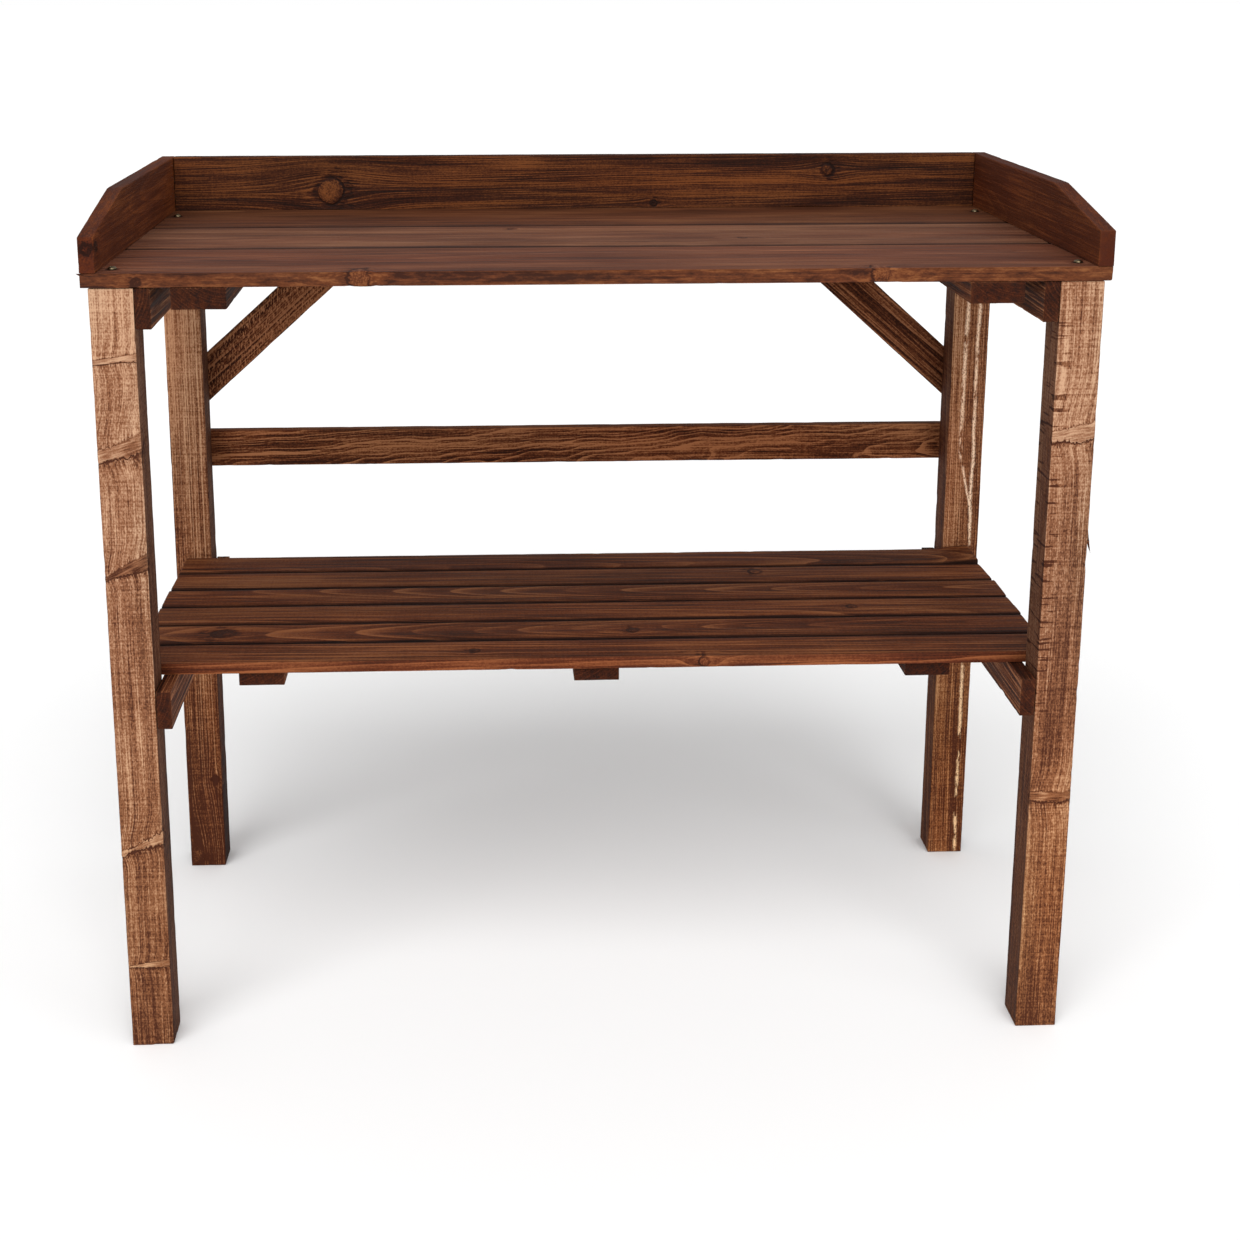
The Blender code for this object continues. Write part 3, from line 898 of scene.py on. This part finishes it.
def add_shelf():
    """Six boards, numbered from the front, each with its own tone, pith and lean."""
    boards = (
        (-0.02, (0.05, -0.04), (0.0, 0.03)),
        (-0.10, (0.0, -0.03), (0.01, 0.06)),
        (0.02, (-0.03, -0.05), (0.02, -0.03)),
        (-0.01, (0.01, -0.03), (-0.02, 0.05)),
        (0.0, (0.06, -0.05), (0.0, 0.02)),
        (-0.02, (-0.02, -0.04), (0.02, -0.04)),
    )
    knots = {
        1: (
            knot(-0.125, -0.002, 0, (0, 0, 1), 5, -0.1),
            knot(0.11, -0.026, 0.0, (0, 1, 0), 5, 0.5, reach=0.012),
        ),
        2: (
            knot(-0.39, 0.0, 0, (0, 0, 1), 13, 0.05),
            knot(0.04, -0.006, 0, (0.4, 0, 1), 6, 0.0),
        ),
        3: (knot(0.29, 0.0, 0, (0, 0, 1), 6, 0.2),),
        5: (knot(0.2, 0.008, 0, (0, 0, 1), 8, 0.4),),
    }
    for number, (tone, pith, lean) in enumerate(boards, start=1):
        add_timber(
            f"shelf_board_{number}", "shelf_board", "shelf", ROUGH_BOARD, TOP_FRAME,
            pith=pith, lean=lean, tone=tone,
            tint=(1.02, 0.93, 0.76), side=(1.0, 0.88, 0.84) if number == 1 else None,
            seams=(number > 1, number < SHELF_BOARDS),
            knots=knots.get(number, ()), shape=shelf_board_shape(number),
        )


def add_rail(node, axes, **own):
    """A rough stained rail, batten or brace."""
    add_timber(node, "stained_rail", "rail", ROUGH_BOARD, axes, **own)


def add_rails_and_battens():
    """The timbers that carry the worktop and the shelf, and the rail across the back legs."""
    # The side rails and the worktop and shelf battens get a darker tone: painted shade for where they
    # sit under the worktop and the shelf
    for side, axes in (("left", LEFT_SIDE_FRAME), ("right", RIGHT_SIDE_FRAME)):
        for level in ("upper", "lower"):
            node = f"side_rail_{level}_{side}"
            add_rail(node, axes, pith=(0.03, -0.05), lean=(0.02, 0.03), tone=-0.22)
        node = f"worktop_batten_{side}"
        add_rail(node, BATTEN_FRAME, pith=(0.03, -0.05), lean=(0.02, 0.02), tone=-0.25)
    for side in ("left", "right", "centre"):
        node = f"shelf_batten_{side}"
        add_rail(node, BATTEN_FRAME, pith=(-0.03, -0.05), lean=(0.02, 0.02), tone=-0.25)
    add_rail(
        "back_rail", BACKBOARD_FRAME,
        pith=(-0.03, -0.03), lean=(0.06, 0.03), wander=0.016, wander_waves=(12, 24, 24),
        tone=-0.02, rings=1.2, tint=(0.98, 0.91, 0.83),
    )


def brace_shape(ends, centre, axes, half_length, inwards):
    """Ends cut along these pairs of points, and the lower edge from corner to corner of the box."""

    def mitred(points):
        points[:, 1] += inwards * BRACE_WIDTH / 2
        limits = []
        for pair in ends:
            flat = [Vector((point.x, centre.y, point.z)) - centre for point in pair]
            alongs = [point.dot(axes[0]) for point in flat]
            acrosses = [point.dot(axes[1]) for point in flat]
            gradient = (alongs[1] - alongs[0]) / (acrosses[1] - acrosses[0])
            limits.append(alongs[0] + gradient * (points[:, 1] - acrosses[0]))
        share = (points[:, 0] + half_length) / (2 * half_length)
        points[:, 0] = limits[0] + share * (limits[1] - limits[0])
        return points

    return mitred


def add_braces():
    """Cut upright behind the leg and level under the worktop."""
    for side, inwards, tone, flecks in (("left", 1, -0.15, 1.0), ("right", -1, -0.16, 0.1)):
        node = f"brace_{side}"
        low, high = (Vector(corner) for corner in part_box(node))
        centre = (low + high) / 2
        outer, inner = (low.x, high.x) if inwards > 0 else (high.x, low.x)
        slope = BRACE_SLOPE
        along = Vector((inwards * math.cos(slope), 0, math.sin(slope)))
        axes = (along, FRONT.cross(along), FRONT)
        rise = BRACE_WIDTH / math.cos(slope)
        upper_top = outer + inwards * (high.z - low.z - rise) / math.tan(slope)
        ends = (
            (Vector((outer, 0, low.z)), Vector((outer, 0, low.z + rise))),
            (Vector((inner, 0, high.z)), Vector((upper_top, 0, high.z))),
        )
        half_length = max(abs((point - centre).dot(along)) for pair in ends for point in pair)
        add_rail(
            node, axes,
            pith=(0.05 * inwards, -0.03), lean=(0.01, 0.02), tone=tone, flecks=flecks,
            half=[half_length, BRACE_WIDTH / 2, (high.y - low.y) / 2],
            shape=brace_shape(ends, centre, axes, half_length, inwards),
        )


def add_screws():
    """Domed heads with a cross recess, on a threaded shank."""
    material = zinc_material()
    for row in ("front", "back"):
        for side in ("left", "right"):
            node = f"worktop_screw_{row}_{side}"
            low, high = (Vector(corner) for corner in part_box(node))
            piece = bpy.data.objects.new(f"{node}_zinc", screw_mesh(low, high, node))
            piece.data.materials.append(material)
            bpy.context.scene.collection.objects.link(piece)
            piece.location = ((low.x + high.x) / 2, (low.y + high.y) / 2, high.z)
            piece.rotation_euler[2] = random.Random(node).uniform(0, 1.5)
            bpy.context.view_layer.update()
            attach(piece, "root")
            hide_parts(node)


def screw_mesh(low, high, name):
    """A screw with its top at the origin: its profile turned round, and a cross sunk in its head."""
    head_radius = (high.x - low.x) / 2
    length = high.z - low.z
    profile = []
    for step in range(1, HEAD_RINGS + 1):
        angle = math.pi / 2 * step / HEAD_RINGS
        profile.append((head_radius * math.sin(angle), HEAD_HEIGHT * (math.cos(angle) - 1)))
    profile.append((SHANK_RADIUS, -HEAD_HEIGHT - 0.1 * MM))
    pitch = (length - HEAD_HEIGHT - BARE_SHANK) / THREAD_TURNS
    for turn in range(THREAD_TURNS):
        top = -HEAD_HEIGHT - 1 * MM - turn * pitch
        profile.append((THREAD_ROOT_RADIUS, top))
        profile.append((THREAD_ROOT_RADIUS, top - pitch * 0.6))
        profile.append((SHANK_RADIUS, top - pitch * 0.8))
    profile.append((TIP_RADIUS, -length))

    points = [(0, 0, -RECESS_DEPTH)]
    faces = []
    for radius, z in profile:
        for spoke in range(HEAD_SPOKES):
            angle = 2 * math.pi * spoke / HEAD_SPOKES
            x, y = radius * math.cos(angle), radius * math.sin(angle)
            beside, reached = sorted((abs(x), abs(y)))
            in_arm = beside < RECESS_ARM_HALF_WIDTH and reached < RECESS_REACH
            in_recess = z > -HEAD_HEIGHT and in_arm
            points.append((x, y, min(z, -RECESS_DEPTH) if in_recess else z))
    rings = len(profile)
    for spoke in range(HEAD_SPOKES):
        following = (spoke + 1) % HEAD_SPOKES
        faces.append((0, 1 + spoke, 1 + following))
        for ring in range(rings - 1):
            start, end = 1 + ring * HEAD_SPOKES, 1 + (ring + 1) * HEAD_SPOKES
            faces.append((start + spoke, end + spoke, end + following, start + following))
    faces.append([1 + (rings - 1) * HEAD_SPOKES + spoke for spoke in reversed(range(HEAD_SPOKES))])
    mesh = bpy.data.meshes.new(name)
    mesh.from_pydata(points, [], faces)
    mesh.polygons.foreach_set("use_smooth", [True] * len(mesh.polygons))
    return mesh


def add_splinter(node, name, root, tip, width, thickness, bend):
    """A torn sliver of the timber: fast at its root, tapering, and bent away from the face."""
    root, tip = Vector(root), Vector(tip)
    along = tip - root
    outward = Vector(bend).normalized()
    across = along.cross(outward).normalized()
    points = []
    for step in range(SPLINTER_STEPS + 1):
        share = step / SPLINTER_STEPS
        middle = root + along * share + Vector(bend) * share**2
        swell = math.sin(math.pi * min(1, 0.25 + 0.8 * share)) ** 0.6 + 0.05
        for turn in range(SPLINTER_SIDES):
            angle = 2 * math.pi * turn / SPLINTER_SIDES
            offset = across * math.cos(angle) * width / 2 + outward * math.sin(angle) * thickness / 2
            jag = 1 + 0.3 * noise.noise(Vector((share * 9, turn * 1.7, width * 900)))
            points.append(middle + offset * swell * jag)
    faces = [list(reversed(range(SPLINTER_SIDES)))]
    for step in range(SPLINTER_STEPS):
        for turn in range(SPLINTER_SIDES):
            following = (turn + 1) % SPLINTER_SIDES
            start, end = step * SPLINTER_SIDES, (step + 1) * SPLINTER_SIDES
            faces.append((start + turn, start + following, end + following, end + turn))
    faces.append([SPLINTER_STEPS * SPLINTER_SIDES + turn for turn in range(SPLINTER_SIDES)])
    mesh = bpy.data.meshes.new(name)
    mesh.from_pydata([tuple(point) for point in points], [], faces)
    # The splinters take the rail's dark stain, darker still: painted shade, as a sliver bent off the
    # face lies in shadow
    timber = {**PLAIN_TIMBER, "seed": 5.0, "half_width": 1.0, "tone": -0.3}
    mesh.materials.append(timber_material(name, LOOKS["rail"], timber))
    piece = bpy.data.objects.new(name, mesh)
    bpy.context.scene.collection.objects.link(piece)
    bpy.context.view_layer.update()
    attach(piece, "root")
    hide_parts(node)


def add_splinters():
    """One stands off the outer side of a leg, and one sticks out at the worktop's left end."""
    low, high = (Vector(corner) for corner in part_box("leg_front_right"))
    face_x, torn_y = high.x - 0.8 * MM, low.y + 6 * MM
    add_splinter(
        "leg_front_right", "leg_front_right_splinter",
        root=(face_x, torn_y, low.z + 0.555), tip=(face_x, torn_y, low.z + 0.519),
        width=4.0 * MM, thickness=3.0 * MM, bend=(6.0 * MM, 0, 0),
    )
    low, high = (Vector(corner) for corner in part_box("worktop_board_front"))
    front_y, top_z = low.y + 1.5 * MM, high.z - 2 * MM
    add_splinter(
        "worktop_board_front", "worktop_board_front_splinter",
        root=(low.x + 6 * MM, front_y, top_z), tip=(low.x - 3.5 * MM, front_y, top_z),
        width=2.4 * MM, thickness=2.2 * MM, bend=(0, 0, 1.8 * MM),
    )


# ---- Studio ----


def add_floor():
    """A wide pale floor."""
    mesh = bpy.data.meshes.new("floor")
    directions = ((-1, -1), (1, -1), (1, 1), (-1, 1))
    corners = [(x * FLOOR_REACH, y * FLOOR_REACH, 0) for x, y in directions]
    mesh.from_pydata(corners, [], [(0, 1, 2, 3)])
    floor = bpy.data.objects.new("floor", mesh)
    bpy.context.scene.collection.objects.link(floor)
    material = bpy.data.materials.new("pale_floor")
    material.use_nodes = True
    shader = material.node_tree.nodes["Principled BSDF"]
    shader.inputs["Base Color"].default_value = (0.93, 0.93, 0.93, 1)
    shader.inputs["Roughness"].default_value = 0.9
    mesh.materials.append(material)


def add_sun(name, azimuth, elevation, softness, strength):
    """A soft distant light. Azimuth 0 shines from the front, and a positive one from the right."""
    light = bpy.data.lights.new(name, "SUN")
    light.angle = math.radians(softness)
    light.energy = strength
    lamp = bpy.data.objects.new(name, light)
    bpy.context.scene.collection.objects.link(lamp)
    a, e = math.radians(azimuth), math.radians(elevation)
    towards = Vector((math.sin(a) * math.cos(e), -math.cos(a) * math.cos(e), math.sin(e)))
    lamp.location = LAMP_DISTANCE * towards
    lamp.rotation_mode = "QUATERNION"
    lamp.rotation_quaternion = towards.to_track_quat("Z", "Y")


def add_studio():
    """A white surround that lights the bench softly, and two soft lights from the front."""
    world = bpy.data.worlds.new("studio")
    bpy.context.scene.world = world
    world.use_nodes = True
    n = Nodes(world.node_tree)
    seen = n.add("ShaderNodeLightPath").outputs["Is Camera Ray"]
    n.feed(n.output("Background").inputs["Color"], (1, 1, 1, 1))
    n.feed(n.output("Background").inputs["Strength"], n.ramp(seen, 0, 1, SURROUND, 1.0))
    add_sun("key", -12, 42, 60, 2.5)
    add_sun("fill", 30, 30, 60, 0.7)
    bpy.context.scene.view_settings.view_transform = "Standard"


def add_camera():
    """The photograph's angle: a little left of the middle, above the worktop, looking down."""
    camera = bpy.data.cameras.new("camera")
    camera.sensor_width = SENSOR_WIDTH
    camera.lens = FOCAL_PIXELS / IMAGE_SIDE * SENSOR_WIDTH
    camera.shift_x = 0.05
    camera.shift_y = -0.15
    pitch, yaw, roll = math.radians(13.73), math.radians(2.16), math.radians(-0.08)
    level = math.cos(pitch)
    forward = Vector((math.sin(yaw) * level, math.cos(yaw) * level, -math.sin(pitch)))
    level_right = forward.cross(UP).normalized()
    level_up = level_right.cross(forward)
    right = math.cos(roll) * level_right + math.sin(roll) * level_up
    up = right.cross(forward)
    eye = bpy.data.objects.new("camera", camera)
    bpy.context.scene.collection.objects.link(eye)
    turn = Matrix((right, up, -forward)).transposed()
    eye.matrix_world = Matrix.Translation(EYE_PLACE) @ turn.to_4x4()
    bpy.context.scene.camera = eye


make_knot_group()
add_legs()
add_worktop()
add_upstands()
add_shelf()
add_rails_and_battens()
add_braces()
add_screws()
add_splinters()
add_floor()
add_studio()
add_camera()
